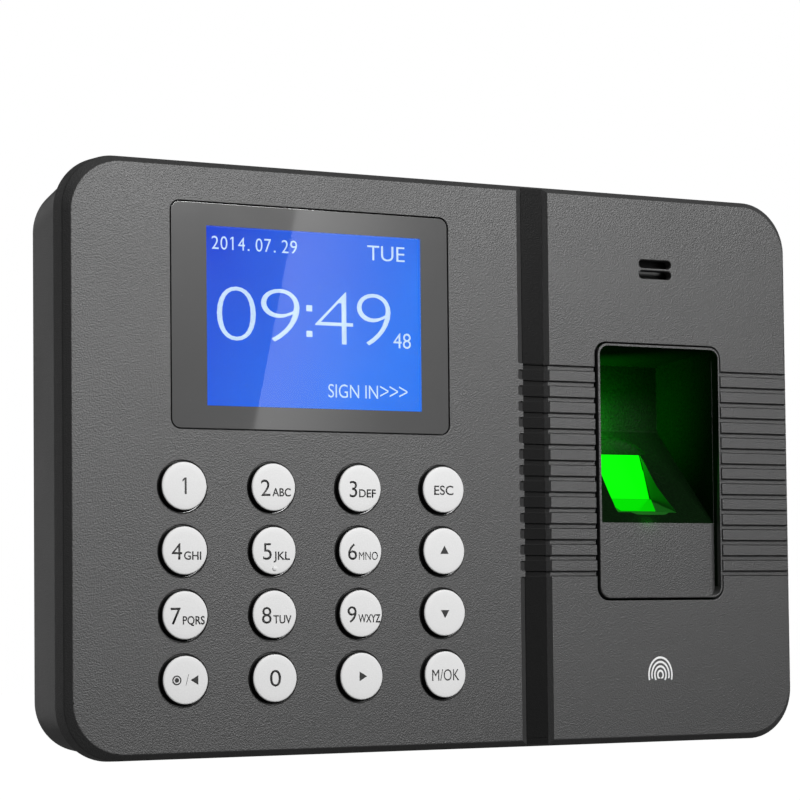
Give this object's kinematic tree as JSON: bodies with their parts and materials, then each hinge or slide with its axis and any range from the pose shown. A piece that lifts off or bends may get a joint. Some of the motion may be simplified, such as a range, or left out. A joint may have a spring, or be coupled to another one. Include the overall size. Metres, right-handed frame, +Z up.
{
  "type": "fingerprint scanner terminal",
  "caption": "Wall-hung access terminal: rounded grey case with a lit display, round press keys, ribbed trim and a sloped finger well with a lit green optical scanner.",
  "frame": {"origin": "centre of the wall plate's back face, where it lies against the wall", "axes": "+X to the right seen from the front, +Y towards the wall, +Z up"},
  "size_m": [0.2058, 0.0346, 0.1438],
  "materials": {
    "cover_plastic": "fine spark-eroded grain, dark grey",
    "trim_dark": "satin black",
    "rear_plastic": "fine grain, mid grey, slight sheen",
    "window": "flat hard-coated lens with a grey printed border",
    "display": "lit blue screen",
    "tin_plate": "pressed tin plate",
    "flex": "amber flexible circuit",
    "silicone": "matt silicone",
    "circuit_board": "green solder mask",
    "chip": "moulded black",
    "bright_steel": "bright plated",
    "socket_plastic": "moulded black",
    "bezel_plastic": "satin black with a fine grain",
    "prism": "polished, lit green from inside",
    "led": "clear green lamp",
    "wire_black": "insulated wire",
    "wire_red": "insulated wire",
    "foam": "closed-cell foam",
    "speaker_frame": "moulded frame",
    "zinc_plate": "zinc plated sheet",
    "black_screw": "black oxide",
    "key_plastic": "satin light grey with dark legends"
  },
  "bodies": {
    "wall_plate": {"wall_plate": "zinc_plate"},
    "case": {"front_cover": "cover_plastic", "channel_strip_upper": "trim_dark", "channel_strip_lower": "trim_dark", "rear_housing": "rear_plastic", "display_window": "window", "lcd_panel": "display", "lcd_frame": "tin_plate", "lcd_ribbon": "flex", "keypad_mat": "silicone", "main_board": "circuit_board", "main_chip": "chip", "memory_chip": "chip", "coin_cell_holder": "chip", "coin_cell": "bright_steel", "usb_socket": "bright_steel", "dc_jack": "socket_plastic", "scanner_bezel": "bezel_plastic", "scanner_prism": "prism", "scanner_housing": "socket_plastic", "scanner_board": "circuit_board", "scanner_camera": "socket_plastic", "scanner_led_left": "led", "scanner_led_right": "led", "scanner_cable": "wire_black", "speaker_gasket": "foam", "speaker": "speaker_frame", "speaker_wire_red": "wire_red", "speaker_wire_black": "wire_black", "case_screw_1": "black_screw", "case_screw_2": "black_screw", "case_screw_3": "black_screw", "case_screw_4": "black_screw", "case_screw_5": "black_screw", "case_screw_6": "black_screw", "board_screw_1": "bright_steel", "board_screw_2": "bright_steel", "board_screw_3": "bright_steel", "board_screw_4": "bright_steel"},
    "key_1": {"key_1": "key_plastic"},
    "key_2": {"key_2": "key_plastic"},
    "key_3": {"key_3": "key_plastic"},
    "key_esc": {"key_esc": "key_plastic"},
    "key_4": {"key_4": "key_plastic"},
    "key_5": {"key_5": "key_plastic"},
    "key_6": {"key_6": "key_plastic"},
    "key_up": {"key_up": "key_plastic"},
    "key_7": {"key_7": "key_plastic"},
    "key_8": {"key_8": "key_plastic"},
    "key_9": {"key_9": "key_plastic"},
    "key_down": {"key_down": "key_plastic"},
    "key_left": {"key_left": "key_plastic"},
    "key_0": {"key_0": "key_plastic"},
    "key_right": {"key_right": "key_plastic"},
    "key_ok": {"key_ok": "key_plastic"}
  },
  "joints": [
    {"name": "lift_off", "type": "slide", "parent": "wall_plate", "child": "case", "axis": [0, 0, 1], "range_m": [0, 0.008]},
    {"name": "key_1_press", "type": "slide", "parent": "case", "child": "key_1", "axis": [0, 1, 0], "range_m": [0, 0.001], "stiffness_N_per_m": 600, "springref_m": -0.0005},
    {"name": "key_2_press", "type": "slide", "parent": "case", "child": "key_2", "axis": [0, 1, 0], "range_m": [0, 0.001], "stiffness_N_per_m": 600, "springref_m": -0.0005},
    {"name": "key_3_press", "type": "slide", "parent": "case", "child": "key_3", "axis": [0, 1, 0], "range_m": [0, 0.001], "stiffness_N_per_m": 600, "springref_m": -0.0005},
    {"name": "key_esc_press", "type": "slide", "parent": "case", "child": "key_esc", "axis": [0, 1, 0], "range_m": [0, 0.001], "stiffness_N_per_m": 600, "springref_m": -0.0005},
    {"name": "key_4_press", "type": "slide", "parent": "case", "child": "key_4", "axis": [0, 1, 0], "range_m": [0, 0.001], "stiffness_N_per_m": 600, "springref_m": -0.0005},
    {"name": "key_5_press", "type": "slide", "parent": "case", "child": "key_5", "axis": [0, 1, 0], "range_m": [0, 0.001], "stiffness_N_per_m": 600, "springref_m": -0.0005},
    {"name": "key_6_press", "type": "slide", "parent": "case", "child": "key_6", "axis": [0, 1, 0], "range_m": [0, 0.001], "stiffness_N_per_m": 600, "springref_m": -0.0005},
    {"name": "key_up_press", "type": "slide", "parent": "case", "child": "key_up", "axis": [0, 1, 0], "range_m": [0, 0.001], "stiffness_N_per_m": 600, "springref_m": -0.0005},
    {"name": "key_7_press", "type": "slide", "parent": "case", "child": "key_7", "axis": [0, 1, 0], "range_m": [0, 0.001], "stiffness_N_per_m": 600, "springref_m": -0.0005},
    {"name": "key_8_press", "type": "slide", "parent": "case", "child": "key_8", "axis": [0, 1, 0], "range_m": [0, 0.001], "stiffness_N_per_m": 600, "springref_m": -0.0005},
    {"name": "key_9_press", "type": "slide", "parent": "case", "child": "key_9", "axis": [0, 1, 0], "range_m": [0, 0.001], "stiffness_N_per_m": 600, "springref_m": -0.0005},
    {"name": "key_down_press", "type": "slide", "parent": "case", "child": "key_down", "axis": [0, 1, 0], "range_m": [0, 0.001], "stiffness_N_per_m": 600, "springref_m": -0.0005},
    {"name": "key_left_press", "type": "slide", "parent": "case", "child": "key_left", "axis": [0, 1, 0], "range_m": [0, 0.001], "stiffness_N_per_m": 600, "springref_m": -0.0005},
    {"name": "key_0_press", "type": "slide", "parent": "case", "child": "key_0", "axis": [0, 1, 0], "range_m": [0, 0.001], "stiffness_N_per_m": 600, "springref_m": -0.0005},
    {"name": "key_right_press", "type": "slide", "parent": "case", "child": "key_right", "axis": [0, 1, 0], "range_m": [0, 0.001], "stiffness_N_per_m": 600, "springref_m": -0.0005},
    {"name": "key_ok_press", "type": "slide", "parent": "case", "child": "key_ok", "axis": [0, 1, 0], "range_m": [0, 0.001], "stiffness_N_per_m": 600, "springref_m": -0.0005}
  ]
}
